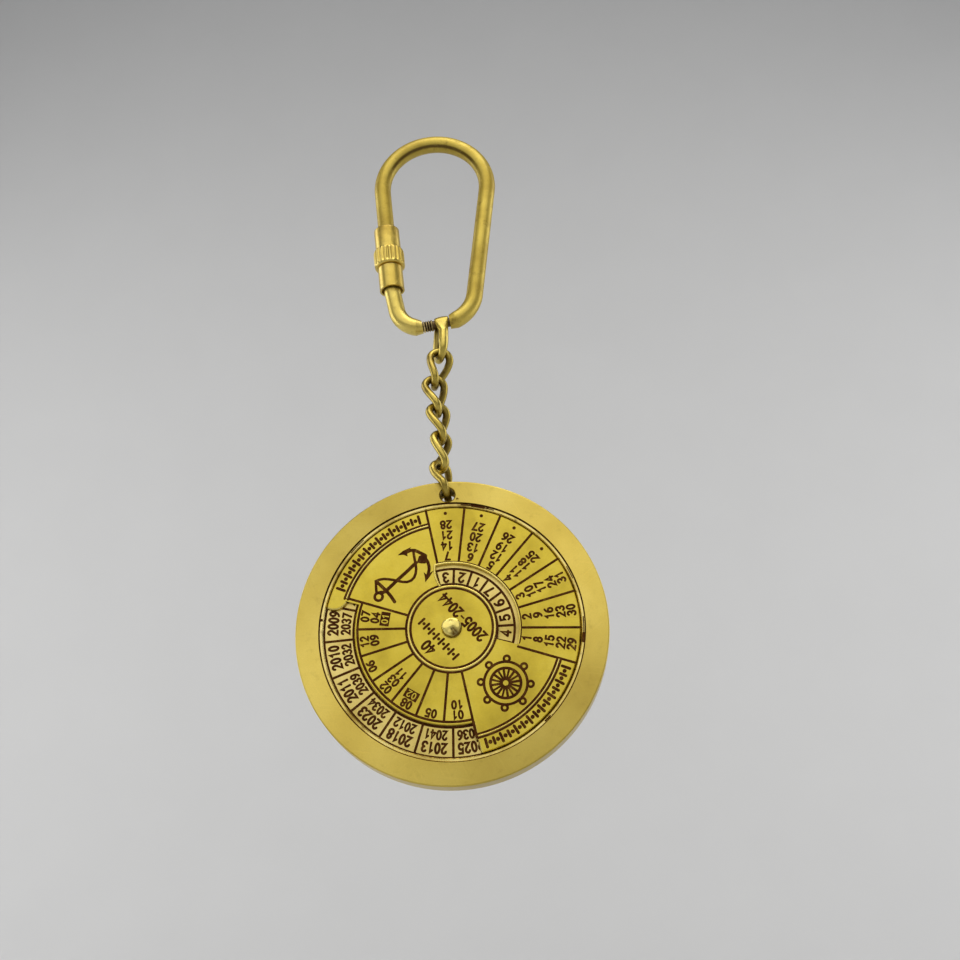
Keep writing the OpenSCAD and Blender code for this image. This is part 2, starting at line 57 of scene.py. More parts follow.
# What only this file has
WIRE_RINGS, WIRE_SIDES = 96, 24  # faces along a loop of wire, and round it
LINE = 0.36                      # width of an enamelled line
LEVELS, LEVEL_STEP = 61, 0.0002  # the tops of crossing marks lie on different levels
FINE = 5200.0                    # scale of the finest grain in a material
PAINTED_SHEEN = 0.16                    # strength of the painted sheen, lighter and darker round the rim of turned brass

# The camera's place, its three angles, and its focal length in pixels of a photograph PHOTO_W wide
CAMERA_AT = (12.8387, -183.5700, -135.6282)
ROLL, PAN, TILT = 2.2, -3.18, 22.19
FOCAL, PHOTO_W, SENSOR_W = 1313.47, 960, 36


# ---------------------------------------------------------------- materials
def add(tree, kind, props=None, **inputs):
    """A shader node. An input is a value or another node's socket. It goes by the socket's name, with
    _ for a space, or by i and the socket's number."""
    n = tree.nodes.new("ShaderNode" + kind)
    for key, value in (props or {}).items():
        setattr(n, key, value)
    for key, value in inputs.items():
        numbered = key[0] == "i" and key[1:].isdigit()
        socket = n.inputs[int(key[1:]) if numbered else key.replace("_", " ")]
        if isinstance(value, bpy.types.NodeSocket):
            tree.links.new(value, socket)
        else:
            socket.default_value = value
    return n


def ramp(tree, fac, stops):
    n = add(tree, "ValToRGB", Fac=fac)
    e = n.color_ramp.elements
    while len(e) < len(stops):
        e.new(0.5)
    for i, (at, colour) in enumerate(stops):
        e[i].position = at
        e[i].color = (*colour, 1)
    return n.outputs["Color"]


def noise(tree, coords, scale, detail, rough=0.5):
    n = add(tree, "TexNoise", Vector=coords, Scale=scale, Detail=detail, Roughness=rough)
    return n.outputs["Fac"]


def remap(tree, value, a, b, c, d):
    """The value with the range a to b stretched to c to d, and cut off there."""
    n = add(tree, "MapRange", Value=value, From_Min=a, From_Max=b, To_Min=c, To_Max=d)
    return n.outputs["Result"]


def math_node(tree, op, a, b):
    return add(tree, "Math", {"operation": op}, i0=a, i1=b).outputs["Value"]


def vector_node(tree, op, a, b=(0, 0, 0)):
    n = add(tree, "VectorMath", {"operation": op}, i0=a, i1=b)
    return n.outputs["Value" if op == "LENGTH" else "Vector"]


def mix(tree, fac, a, b, blend="MIX"):
    n = add(tree, "Mix", {"data_type": "RGBA", "blend_type": blend}, i0=fac, i6=a, i7=b)
    return n.outputs[2]


def new_material(name):
    m = bpy.data.materials.new(name)
    m.use_nodes = True
    m.node_tree.nodes.clear()
    return m, m.node_tree


def scratches(tree, coords, angle, scale, width, seed):
    """Thin straight scratches in one direction, 1 on a scratch."""
    turned = add(tree, "Mapping", Vector=coords, Rotation=(0, radians(angle), 0),
                 Location=(seed, 0, seed)).outputs["Vector"]
    long = add(tree, "Mapping", Vector=turned, Scale=(1, 1, 0.025)).outputs["Vector"]
    lines = noise(tree, long, scale, 1.0)
    patch = noise(tree, turned, 260.0, 1.0)
    thin = remap(tree, lines, 0.60, 0.60 + width, 0, 1)
    return math_node(tree, "MULTIPLY", thin, remap(tree, patch, 0.45, 0.6, 0, 1))


def arch_dirt(tree, coords):
    """A painted dark reflection in a band along the inner side of the clip's arch, none on the legs."""
    arm = vector_node(tree, "SUBTRACT", coords, (0, 0, ARCH_Z * MM))
    out = vector_node(tree, "LENGTH", vector_node(tree, "MULTIPLY", arm, (1, 0, 1)))
    inside = math_node(tree, "MINIMUM",
                       remap(tree, out, (ARCH_R - 0.84) * MM, (ARCH_R - 0.64) * MM, 0.85, 0.0),
                       remap(tree, out, (ARCH_R - 1.2) * MM, (ARCH_R - 1.02) * MM, 0.1, 1.0))
    height = add(tree, "SeparateXYZ", Vector=coords).outputs["Z"]
    high = remap(tree, height, -6.5 * MM, -3.0 * MM, 0.0, 1.0)
    return math_node(tree, "MULTIPLY", inside, high)


def neck_crests(tree, coords, spots):
    """1 on the crests of the ridges round the neck, worn bright there and painted paler as a highlight.
    """
    arm = vector_node(tree, "SUBTRACT", coords, tuple(v * MM for v in NECK_MID))
    out = vector_node(tree, "LENGTH", vector_node(tree, "CROSS_PRODUCT", arm, NECK_WAY))
    return math_node(tree, "MULTIPLY", remap(tree, out, 0.83 * MM, 0.88 * MM, 0, 1),
                     remap(tree, spots, 0.42, 0.5, 1.0, 0.25))


def brass(name, deep, mid, pale, rough, tarnish, turned=0.0, cloud=150.0, ridges=None, arch=False,
          scuffed=0.16):
    """Lacquered brass: cloudy colour, tarnish in patches, scratches and a fine grain. A mesh can carry
    an attribute of painted shade that darkens it. turned is the strength of rings left by the lathe,
    and turned brass also gets a painted sheen round the case's axis. cloud is the scale of the clouds,
    ridges a colour for the crests round the neck, painted paler as a highlight where they are worn.
    arch paints a dark reflection in a band on the inner side of the clip's arch, and scuffed is how
    much the scratches show."""
    m, t = new_material(name)
    coords = add(t, "TexCoord").outputs["Object"]
    clouds = noise(t, coords, cloud, 4.0, 0.55)
    colour = ramp(t, clouds, [(0.3, deep), (0.5, mid), (0.72, pale)])
    grain = noise(t, coords, FINE, 3.0, 0.6)
    grained = (*[c * 0.62 for c in mid], 1)
    colour = mix(t, remap(t, grain, 0.35, 0.7, 0.0, 0.16), colour, grained)
    # Tarnish in patches, and painted shade from the mesh's attribute and from the arch's dark reflection
    spots = noise(t, coords, 620.0, 6.0, 0.68)
    brown = remap(t, spots, 0.56, 0.74, 0.0, tarnish)
    dark = (deep[0] * 0.42, deep[1] * 0.36, deep[2] * 0.30, 1)
    colour = mix(t, brown, colour, dark)
    dirt = add(t, "Attribute", {"attribute_name": "painted_shade"}).outputs["Fac"]
    dirt = math_node(t, "MULTIPLY", dirt, remap(t, spots, 0.25, 0.6, 0.55, 1.0))
    if arch:
        dirt = math_node(t, "MAXIMUM", dirt, arch_dirt(t, coords))
    colour = mix(t, dirt, colour, (dark[0] * 0.5, dark[1] * 0.42, dark[2] * 0.4, 1))
    # The neck's crests: worn bright, and painted paler as a highlight
    if ridges:
        colour = mix(t, neck_crests(t, coords, spots), colour, (*ridges, 1))
    # Scratches in three directions
    marks = math_node(t, "MAXIMUM", scratches(t, coords, 28, 2600.0, 0.10, 0.0),
                      scratches(t, coords, -52, 2300.0, 0.09, 0.31))
    marks = math_node(t, "MAXIMUM", marks, scratches(t, coords, 81, 2500.0, 0.09, 0.57))
    scratched = (*[min(1, c * 1.25) for c in pale], 1)
    colour = mix(t, math_node(t, "MULTIPLY", marks, scuffed), colour, scratched)
    shine = remap(t, clouds, 0.3, 0.7, rough * 1.15, rough * 0.9)
    for mask, duller in ((marks, 0.10), (brown, 0.25), (dirt, 0.2)):
        shine = math_node(t, "ADD", shine, math_node(t, "MULTIPLY", mask, duller))
    height = math_node(t, "SUBTRACT", math_node(t, "MULTIPLY", grain, 0.25),
                       math_node(t, "MULTIPLY", marks, 0.35))
    if turned:
        # Rings left by the lathe, round the axis of the case
        place = add(t, "Mapping", Vector=coords,
                    Location=(-CASE_MID[0] * MM, 0, -CASE_MID[1] * MM)).outputs["Vector"]
        flat = vector_node(t, "MULTIPLY", place, (1, 0, 1))
        radius = vector_node(t, "LENGTH", flat)
        rings = add(t, "TexNoise", {"noise_dimensions": "1D"}, W=radius, Scale=9000.0,
                    Detail=2.0).outputs["Fac"]
        height = math_node(t, "ADD", height, math_node(t, "MULTIPLY", rings, turned))
        # Painted sheen: the rim lighter and darker in lobes round the axis, as light falls on its polish
        part = add(t, "SeparateXYZ", Vector=vector_node(t, "NORMALIZE", flat))
        x, z = part.outputs["X"], part.outputs["Z"]
        across = math_node(t, "MULTIPLY", math_node(t, "MULTIPLY", x, z), 2 * PAINTED_SHEEN)
        along = math_node(t, "SUBTRACT", math_node(t, "MULTIPLY", x, x), 0.5)
        along = math_node(t, "MULTIPLY", along, PAINTED_SHEEN)
        tone = math_node(t, "ADD", math_node(t, "ADD", across, along), 0.5)
        shade = ramp(t, tone, [(0.3, (0.70, 0.70, 0.68)), (0.7, (1, 1, 1))])
        colour = mix(t, 1.0, colour, shade, "MULTIPLY")
    bump = add(t, "Bump", Strength=0.35, Distance=0.02 * MM, Height=height).outputs["Normal"]
    shader = add(t, "BsdfPrincipled", Base_Color=colour, Metallic=1.0, Roughness=shine, Normal=bump,
                 Coat_Weight=0.25, Coat_Roughness=0.14)
    add(t, "OutputMaterial", Surface=shader.outputs["BSDF"])
    return m


def enamel():
    """Dark brown filling, thin and worn in spots."""
    m, t = new_material("enamel")
    coords = add(t, "TexCoord").outputs["Object"]
    soft = noise(t, coords, 900.0, 4.0, 0.6)
    fine = noise(t, coords, FINE, 3.0, 0.6)
    colour = ramp(t, soft, [(0.3, (0.045, 0.013, 0.003)), (0.55, (0.082, 0.027, 0.005)),
                            (0.75, (0.13, 0.055, 0.010))])
    worn = math_node(t, "MULTIPLY", remap(t, fine, 0.58, 0.72, 0.0, 0.5),
                     remap(t, soft, 0.5, 0.62, 0.0, 1.0))
    colour = mix(t, worn, colour, (0.42, 0.30, 0.07, 1))
    bump = add(t, "Bump", Strength=0.3, Distance=0.02 * MM, Height=fine).outputs["Normal"]
    shader = add(t, "BsdfPrincipled", Base_Color=colour, Metallic=worn, Specular_IOR_Level=0.03,
                 Roughness=remap(t, fine, 0.3, 0.7, 0.45, 0.65), Normal=bump)
    add(t, "OutputMaterial", Surface=shader.outputs["BSDF"])
    return m


# ---------------------------------------------------------------- points and meshes
def polar(r, angle, mid=(0, 0)):
    return mid[0] + r * cos(radians(angle)), mid[1] + r * sin(radians(angle))


def rotated(x, y, angle):
    c, s = cos(radians(angle)), sin(radians(angle))
    return x * c - y * s, x * s + y * c


def circle(mid, r, n):
    """n points round a circle."""
    return [(mid[0] + r * cos(2 * pi * i / n), mid[1] + r * sin(2 * pi * i / n)) for i in range(n)]


def arc(cx, cy, rx, ry, a0, a1, n):
    """n + 1 points on a circle or an ellipse, from angle a0 to a1."""
    angles = [radians(a0 + (a1 - a0) * i / n) for i in range(n + 1)]
    return [(cx + rx * cos(a), cy + ry * sin(a)) for a in angles]


def quarter(r0, z0, r1, z1, n=5):
    """Points of a quarter round from (r0, z0) to (r1, z1), that leaves the first along z."""
    angles = [pi / 2 * i / n for i in range(n + 1)]
    return [(r1 + (r0 - r1) * cos(a), z0 + (z1 - z0) * sin(a)) for a in angles]


def up(lean):
    return Vector((sin(radians(lean)), 0, cos(radians(lean))))


def lean_place(at, lean):
    return Matrix.Translation(at) @ Matrix.Rotation(radians(lean), 4, "Y")


def new_object(name, points, faces, material, smooth=True):
    mesh = bpy.data.meshes.new(name)
    mesh.from_pydata([p * MM for p in points], [], faces)
    b = bmesh.new()
    b.from_mesh(mesh)
    bmesh.ops.recalc_face_normals(b, faces=b.faces)
    b.to_mesh(mesh)
    b.free()
    mesh.materials.append(material)
    for f in mesh.polygons:
        f.use_smooth = smooth
    o = bpy.data.objects.new(name, mesh)
    bpy.context.scene.collection.objects.link(o)
    return o


def stand_for(o, body, node):
    """Puts o in the place of a node of the part."""
    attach(o, body)
    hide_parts(node)


# ---------------------------------------------------------------- wire loops
def curb_loop(a, b, h, flat, turns, twist_h, drift, sizes):
    """The same loop of wire as in the part's source, with more faces. Returns rings of points.
    a and b are the radii of its upper and lower end, h its height, and the lower end is flat times
    as deep as round. It turns from one of turns to the other over the height twist_h, and leans by
    drift. sizes lists (share of the way down, thickness in the loop's plane, thickness across it)."""
    long = h - a - b * flat
    w = asin((b - a) / long)
    part = (a * (pi / 2 - w), sqrt(long ** 2 - (b - a) ** 2), b * (pi / 2 + w))

    def half(s):
        run = s * sum(part)
        if run <= part[0]:
            at = pi / 2 - (pi / 2 - w) * run / part[0]
            return a * cos(at), a * sin(at)
        if run <= part[0] + part[1]:
            k = (run - part[0]) / part[1]
            p, q = (a * cos(w), a * sin(w)), (b * cos(w), b * flat * sin(w) - long)
            return p[0] + (q[0] - p[0]) * k, p[1] + (q[1] - p[1]) * k
        at = w - (pi / 2 + w) * (run - part[0] - part[1]) / part[2]
        return b * cos(at), b * flat * sin(at) - long

    def size(s, column):
        for p, q in zip(sizes, sizes[1:]):
            if s <= q[0]:
                return p[column] + (q[column] - p[column]) * (s - p[0]) / (q[0] - p[0])
        return sizes[-1][column]

    def middle(k):
        k %= WIRE_RINGS
        x, z = half(1 - abs(1 - 2 * k / WIRE_RINGS))
        out = x if 2 * k < WIRE_RINGS else -x
        deep = (a - z) / h
        t = min(1, deep * h / twist_h)
        turn = radians(turns[0] + (turns[1] - turns[0]) * t * t * (3 - 2 * t))
        return Vector((out * cos(turn) + drift * deep, out * sin(turn), z - a)), turn

    loops = []
    for k in range(WIRE_RINGS):
        p, turn = middle(k)
        along = (middle(k + 1)[0] - middle(k - 1)[0]).normalized()
        across = Vector((-sin(turn), cos(turn), 0)).cross(along).normalized()
        flatwise = along.cross(across)
        s = 1 - abs(1 - 2 * k / WIRE_RINGS)
        loops.append([p + across * (cos(2 * pi * j / WIRE_SIDES) * size(s, 1) / 2)
                      + flatwise * (sin(2 * pi * j / WIRE_SIDES) * size(s, 2) / 2)
                      for j in range(WIRE_SIDES)])
    return loops


def wire_piece(name, loops, place, material, body, node):
    n, m = len(loops), len(loops[0])
    points = [place @ p for loop in loops for p in loop]
    faces = [(k * m + j, (k + 1) % n * m + j, (k + 1) % n * m + (j + 1) % m, k * m + (j + 1) % m)
             for k in range(n) for j in range(m)]
    o = new_object(name, points, faces, material)
    # Painted shade: the inner side of a loop, towards its middle, is darkened
    inner = sum(points, Vector()) / len(points)
    painted_shade = o.data.attributes.new("painted_shade", "FLOAT", "POINT")
    for k in range(n):
        mid = sum(points[k * m:k * m + m], Vector()) / m
        for j in range(m):
            facing = (points[k * m + j] - mid).normalized().dot((inner - mid).normalized())
            painted_shade.data[k * m + j].value = min(1, max(0, (facing - 0.1) / 0.75)) * 0.85
    stand_for(o, body, node)


def build_swivel_ring(material):
    """The ring that turns on the neck: a band there, and a round foot. Returns the foot's place."""
    band_w, band_t, bore, strand_d = 2.2, 0.42, 1.48, 1.6
    foot_drawn = FOOT_D - 0.05       # round wire fills more than the source's flat faces do
    mid = Vector(NECK_MID) + NECK_WAY * (NECK_LEN / 2 - band_w / 2 - SLACK)
    a = (bore + band_t) / 2
    slant = radians(NECK_SLOPE + RING_LEAN)
    drop, drift = RING_DROP * cos(slant), -RING_DROP * sin(slant)
    sizes = [(0, band_t, band_w), (0.16, band_t, band_w), (0.4, strand_d, strand_d),
             (0.6, strand_d, strand_d), (0.88, foot_drawn, foot_drawn), (1, foot_drawn, foot_drawn)]
    loops = curb_loop(a, (WIRE_D + strand_d) / 2 + 2 * SLACK, drop + a, 1, (90, 112), 0.5 * drop,
                      drift, sizes)
    # The inside of the band is round, and just clears the neck
    for loop in loops:
        for p in loop:
            r = sqrt(p.y ** 2 + (p.z + a) ** 2)
            if r < bore / 2 and abs(p.x) < band_w:
                k = bore / 2 / max(r, 1e-6)
                p.y, p.z = p.y * k, (p.z + a) * k - a
    place = lean_place(mid, -NECK_SLOPE) @ Matrix.Translation((0, 0, a))
    wire_piece("swivel_loop", loops, place, material, "ring", "swivel_ring")
    return mid - up(RING_LEAN) * RING_DROP


def build_links(foot, material):
    """The four links and the end link, each hanging in the one above."""
    pitch, gap, twist = 4.8, 1.9, 92
    # Drawn thinner than in the source, so that round wire clears its neighbours at every pose
    drawn, end_drawn = WIRE_D - 0.05, WIRE_D - 0.1
    leans, turns = (12, -5, -4, 2.5, -12.5), (6, 10, 24, 38, 38)
    r, h = (gap + WIRE_D) / 2, pitch + WIRE_D + HOOK_GAP
    end_half = CASE_T / 2 + 3 * SLACK + WIRE_D / 2
    step = h - (FOOT_D + WIRE_D) / 2 - 2 * HOOK_GAP
    for i, (lean, turn) in enumerate(zip(leans, turns)):
        foot = foot - up(lean) * step
        step = pitch
        place = lean_place(foot + up(lean) * h, lean)
        if i < 4:
            sizes = [(s, drawn, drawn) for s in (0, 1)]
            loops = curb_loop(r, r, h, 1, (turn, turn + twist), h, 0, sizes)
            name, body, node = [kind % (i + 1) for kind in ("curb_%d", "link_%d", "chain_link_%d")]
        else:
            sizes = [(s, end_drawn, end_drawn) for s in (0, 1)]
            loops = curb_loop(r, end_half, h, 0.65, (turn, 90), 0.78 * h, 0, sizes)
            name, body, node = "curb_end", "end", "end_link"
        wire_piece(name, loops, place, material, body, node)


# ---------------------------------------------------------------- turned pieces
def turned_mesh(name, profile, place, material, sides, shape=None, sharp=38, dirt=None):
    """A turned piece. profile lists (radius, height) from the axis back to the axis, or once round
    the section of a hollow piece. shape moves a point of it, given its radius, height and angle, and
    the last argument gives the painted shade there."""
    solid = profile[0][0] == 0
    rows = profile[1:-1] if solid else profile
    n, points = len(rows), []
    for r, z in rows:
        for j in range(sides):
            a = 2 * pi * j / sides
            r_at, z_at = shape(r, z, a) if shape else (r, z)
            points.append(place @ Vector((r_at * cos(a), r_at * sin(a), z_at)))
    faces = []
    for k in range(n - 1 if solid else n):
        low, high = k * sides, (k + 1) % n * sides
        for j in range(sides):
            after = (j + 1) % sides
            faces.append((low + j, low + after, high + after, high + j))
    if solid:
        for (_, z), row in ((profile[0], 0), (profile[-1], n - 1)):
            tip, first = len(points), row * sides
            points.append(place @ Vector((0, 0, shape(0, z, 0)[1] if shape else z)))
            faces += [(tip, first + j, first + (j + 1) % sides) for j in range(sides)]
    o = new_object(name, points, faces, material)
    o.data.set_sharp_from_angle(angle=radians(sharp))
    if dirt:
        painted_shade = o.data.attributes.new("painted_shade", "FLOAT", "POINT")
        for i, (r, z) in enumerate(rows):
            for j in range(sides):
                painted_shade.data[i * sides + j].value = dirt(r, z, 2 * pi * j / sides)
    return o


def build_nut(material):
    """The lock nut: a smooth collar, and a fluted grip with round shoulders."""
    length, grip_h, shoulder, collar_r, grip_r = 7.2, 3.3, 0.8, 2.05, 2.475
    bore, wire_bore, wall, flutes, depth, lip = 1.74, 1.39, 1.4, 20, 0.19, 0.4
    low = [(grip_r - lip * (1 - sin(radians(a))) * 0.8, lip * (1 - cos(radians(a))))
           for a in range(0, 91, 15)]
    grip = [(grip_r, z) for z in (0.5, 0.6, 0.75, 1.0, 1.4, 1.9, 2.4)]
    profile = ([(bore, 0)] + low + grip
               + quarter(grip_r, grip_h - shoulder, collar_r, grip_h, 10)
               + [(collar_r, z) for z in (3.6, 4.8, 6.2)]
               + quarter(collar_r, length - 0.25, collar_r - 0.22, length)
               + [(wire_bore + 0.05, length), (wire_bore, length - 0.05),
                  (wire_bore, length - wall), (bore, length - wall)])

    def shape(r, z, a):
        if r < bore + 0.1 or z > grip_h + 0.1:
            return r, z
        fade = min(1, max(0, (z - 0.2) / 0.45))
        groove = (0.5 + 0.5 * cos(flutes * a)) ** 1.3
        return min(r, grip_r - depth * groove * fade), z

    x, z = polar(ARCH_R, 180 + LEFT_LEAN, (0, ARCH_Z))
    place = lean_place(Vector((x, 0, z)) - up(-LEFT_LEAN) * SEAM_AT, -LEFT_LEAN)
    nut = turned_mesh("fluted_nut", profile, place, material, flutes * 12, shape, 50)
    stand_for(nut, "nut", "lock_nut")


def build_pin(material):
    """The neck: a pin with a ridged collar beside the gate arm."""
    pin_r, pin_in, collar_r, collar_len, bevel = 0.7, 1.2, 0.9, 1.55, 0.08
    collar_end = SLACK + collar_len
    groove = ((-0.13, 0), (-0.1, 0.05), (0, 0.16), (0.1, 0.05), (0.13, 0))   # (along, depth)
    profile = [(0, -pin_in), (pin_r, -pin_in), (pin_r, SLACK), (collar_r - bevel, SLACK),
               (collar_r, SLACK + 0.06)]
    for k in range(1, 4):
        at = SLACK + collar_len * k / 4
        profile += [(collar_r - deep, at + along) for along, deep in groove]
    profile += [(collar_r, collar_end - 0.06), (collar_r - bevel, collar_end), (pin_r, collar_end),
                (pin_r, NECK_LEN + pin_in), (0, NECK_LEN + pin_in)]
    place = lean_place(Vector(NECK_MID) - NECK_WAY * NECK_LEN / 2, 90 - NECK_SLOPE)
    pin = turned_mesh("neck_pin", profile, place, material, 64)
    stand_for(pin, "clip", "pivot_pin")


def bell(x):
    return 1 / (1 + x * x) ** 2


def build_rivet(material):
    """The rivet through the dial: a flat closed end at the back, and a head that a punch has spread."""
    low, high, head_r, shank_r = 1.49, 2.49, 1.5, 0.85
    tail_low, tail_high, tail_r = -2.2, -1.75, 1.4
    radii = (1.44, 1.36, 1.26, 1.14, 1.02, 0.92, 0.84, 0.76, 0.68, 0.60, 0.52, 0.44, 0.36, 0.28, 0.2,
             0.1)
    profile = ([(0, tail_low), (tail_r - 0.2, tail_low), (tail_r, tail_low + 0.2),
                (tail_r, tail_high), (shank_r, tail_high), (shank_r, low), (head_r - 0.05, low),
                (head_r, low + 0.06), (head_r, low + 0.3)]
               + [(r, high) for r in radii] + [(0, high)])
    # Where the punch has left a dent on the head, also painted darker there as shade: x, y, reach and
    # strength
    dents = ((0.2, -0.35, 0.3, 1), (-0.1, 0.95, 0.4, 0.5), (0.65, -1.1, 0.75, 1.6))

    # How deep the dents are at a point, used both for their shape and for painted shade in them
    def worn(r, a):
        x, y = r * cos(a), r * sin(a)
        return min(1, sum(k * bell(sqrt((x - u) ** 2 + (y - v) ** 2) / w) for u, v, w, k in dents))

    def shape(r, z, a):
        if z < low + 0.2:
            return r, z
        edge = 1 - 0.035 * (1 + cos(3 * a + 0.8)) - 0.02 * (1 + cos(5 * a + 2.1))
        if z < high:
            return r * edge, z
        crown = -0.26 * (r / head_r) ** 9 - 0.22 * worn(r, a)
        lobes = 0.05 * (r / head_r) * cos(2 * a) - 0.04 * (r / head_r) ** 2 * (1 + cos(5 * a - 0.9))
        return r * edge, high - 0.12 + min(0.12, crown + lobes)

    # Painted shade: the head's side wall darker on one side, the lower right, and its dents darker
    def dirt(r, z, a):
        if low - 0.1 < z < high:
            return max(0, cos(a - 5.2)) ** 0.4
        if z >= high:
            return 1.3 * worn(r, a)
        return 0

    place = Matrix.Translation((CASE_MID[0], 0, CASE_MID[1])) @ Matrix.Rotation(pi / 2, 4, "X")
    rivet = turned_mesh("peened_rivet", profile, place, material, 72, shape, 60, dirt)
    stand_for(rivet, "case", "centre_rivet")


# ---------------------------------------------------------------- enamel work
SIX = [arc(0.58, 0.36, 0.55, 0.62, 97, 176, 6), arc(0.31, 0.29, 0.28, 0.29, 0, 360, 16)]
# Strokes of each figure in a box 0.62 wide and 1 high
FIGURES = {
    "0": [arc(0.31, 0.5, 0.28, 0.5, 0, 360, 18)],
    "1": [[(0.12, 0.76), (0.36, 1), (0.36, 0)]],
    "2": [arc(0.31, 0.72, 0.27, 0.28, 165, -38, 9) + [(0.04, 0), (0.6, 0)]],
    "3": [arc(0.29, 0.745, 0.26, 0.255, 150, -80, 9), arc(0.29, 0.25, 0.3, 0.25, 85, -155, 10)],
    "4": [[(0.47, 0), (0.47, 1), (0.02, 0.28)], [(0.02, 0.28), (0.63, 0.28)]],
    "5": [[(0.57, 1), (0.12, 1), (0.08, 0.54)] + arc(0.29, 0.31, 0.3, 0.31, 125, -150, 10)],
    "6": SIX,
    "7": [[(0.02, 1), (0.6, 1), (0.24, 0)]],
    "8": [arc(0.31, 0.755, 0.23, 0.245, 0, 360, 14), arc(0.31, 0.26, 0.29, 0.26, 0, 360, 16)],
    "9": [[(0.62 - x, 1 - y) for x, y in s] for s in SIX],
}


class Ink:
    """Flat marks on a face of the case, as thin closed prisms. x and y run across the face from its
    middle."""

    def __init__(self, height, proud=0.012, sunk=0.02):
        self.points, self.faces, self.count = [], [], 0
        self.top, self.low = height + proud, height - sunk

    def heights(self):
        """Top and bottom of the next mark. The tops differ a little, so that no two that cross are
        level."""
        self.count += 1
        return self.top + self.count % LEVELS * LEVEL_STEP, self.low

    def prism(self, outline):
        n, base = len(outline), len(self.points)
        for h in self.heights():
            self.points += [Vector((CASE_MID[0] + x, -h, CASE_MID[1] + y)) for x, y in outline]
        self.faces.append(tuple(range(base, base + n)))
        self.faces.append(tuple(range(base + 2 * n - 1, base + n - 1, -1)))
        self.faces += [(base + i, base + n + i, base + n + (i + 1) % n, base + (i + 1) % n)
                       for i in range(n)]

    def stroke(self, line, width, closed=False):
        """A line of even width with mitred corners and round ends."""
        p = [Vector(q) for q in line]
        if (p[0] - p[-1]).length < 1e-6:
            closed, p = True, p[:-1]
        n, wide = len(p), [width / 2] * len(p)
        ways = [(p[(i + 1) % n] - p[i]).normalized() for i in range(n if closed else n - 1)]
        if not closed:
            # Round ends, in two steps
            caps = [(0.5, 0.866), (0.94, 0.34)]
            head = [(p[0] - ways[0] * width / 2 * s, width / 2 * c) for s, c in reversed(caps)]
            tail = [(p[-1] + ways[-1] * width / 2 * s, width / 2 * c) for s, c in caps]
            p = [q for q, _ in head] + p + [q for q, _ in tail]
            wide = [c for _, c in head] + wide + [c for _, c in tail]
            ways = [ways[0]] * 2 + ways + [ways[-1]] * 2
            n = len(p)
        base, heights = len(self.points), self.heights()
        for i in range(n):
            v0 = ways[i - 1] if closed or i else ways[0]
            v1 = ways[i] if closed or i < n - 1 else ways[-1]
            side = Vector((-v0.y - v1.y, v0.x + v1.x))
            if side.length > 1e-6:
                side = side.normalized() / max(0.55, (v0 + v1).length / 2)
            else:
                side = Vector((-v0.y, v0.x))
            for h in heights:
                for s in (1, -1):
                    q = p[i] + side * (wide[i] * s)
                    self.points.append(Vector((CASE_MID[0] + q.x, -h, CASE_MID[1] + q.y)))
        for i in range(n if closed else n - 1):
            a, b = base + 4 * i, base + 4 * ((i + 1) % n)
            self.faces += [(a, a + 1, b + 1, b), (a + 2, b + 2, b + 3, a + 3), (a, b, b + 2, a + 2),
                           (a + 1, a + 3, b + 3, b + 1)]
        if not closed:
            for a in (base, base + 4 * (n - 1)):
                self.faces.append((a, a + 2, a + 3, a + 1))

    def ring(self, r, width=LINE, mid=(0, 0), n=0):
        self.stroke(circle(mid, r, n or max(24, ceil(r * 12))), width, True)

    def arc(self, r, a0, a1, width=LINE):
        self.stroke(arc(0, 0, r, r, a0, a1, max(2, ceil(abs(a1 - a0) * r / 30))), width)

    def spoke(self, angle, r0, r1, width=LINE):
        self.stroke([polar(r0, angle), polar(r1, angle)], width)

    def dot(self, mid, r):
        self.prism(circle(mid, r, 14))

    def figure(self, letter, mid, rise, size, weight, wide):
        """A figure with its middle at mid and its top towards rise."""
        right = Vector((rise.y, -rise.x)) * wide
        for line in FIGURES[letter]:
            self.stroke([mid + right * ((x - 0.31) * size) + rise * ((y - 0.5) * size)
                         for x, y in line], size * weight)

    def write_straight(self, text, mid, way, size):
        """Figures along a straight line that runs in the direction way."""
        weight, wide = 0.25, 0.82
        right = Vector(polar(1, way))
        for i, letter in enumerate(text):
            at = Vector(mid) + right * ((i - (len(text) - 1) / 2) * size * 0.86 * wide)
            self.figure(letter, at, Vector((-right.y, right.x)), size, weight, wide)

    def write(self, text, r, angle, size, out=True, weight=0.26, wide=0.9):
        """Figures along an arc of radius r. Their tops point outwards, or towards the middle."""
        for i, letter in enumerate(text):
            along = (i - (len(text) - 1) / 2) * size * 0.88 * wide
            a = radians(angle) + (-along if out else along) / r
            at = Vector((cos(a), sin(a)))
            self.figure(letter, at * r, at if out else -at, size, weight, wide)

    def finish(self, name, material, body, slot):
        o = new_object(name, self.points, self.faces, material, smooth=False)
        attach(o, body)


def year_columns():
    """The years 2005 to 2044 in 21 columns. Years that run alike stand seven columns apart."""
    # The first seven columns keep the plate's own order, and the others follow from them
    first = [(2025, 2036), (2013, 2041), (2018, 2012), (2023, 2034), (2011, 2039), (2010, 2032),
             (2009, 2037)]
    shown = {y for pair in first for y in pair}
    kinds = {}
    for y in range(2005, 2045):
        leap = y % 4 == 0
        kinds.setdefault((date(y, 1, 1).weekday() + leap) % 7, []).append(y)
    columns = list(first)
    for k in range(7, 21):
        rest = [y for y in kinds[(2 - k) % 7] if y not in shown][:2]
        shown.update(rest)
        columns.append(tuple(rest))
    return columns


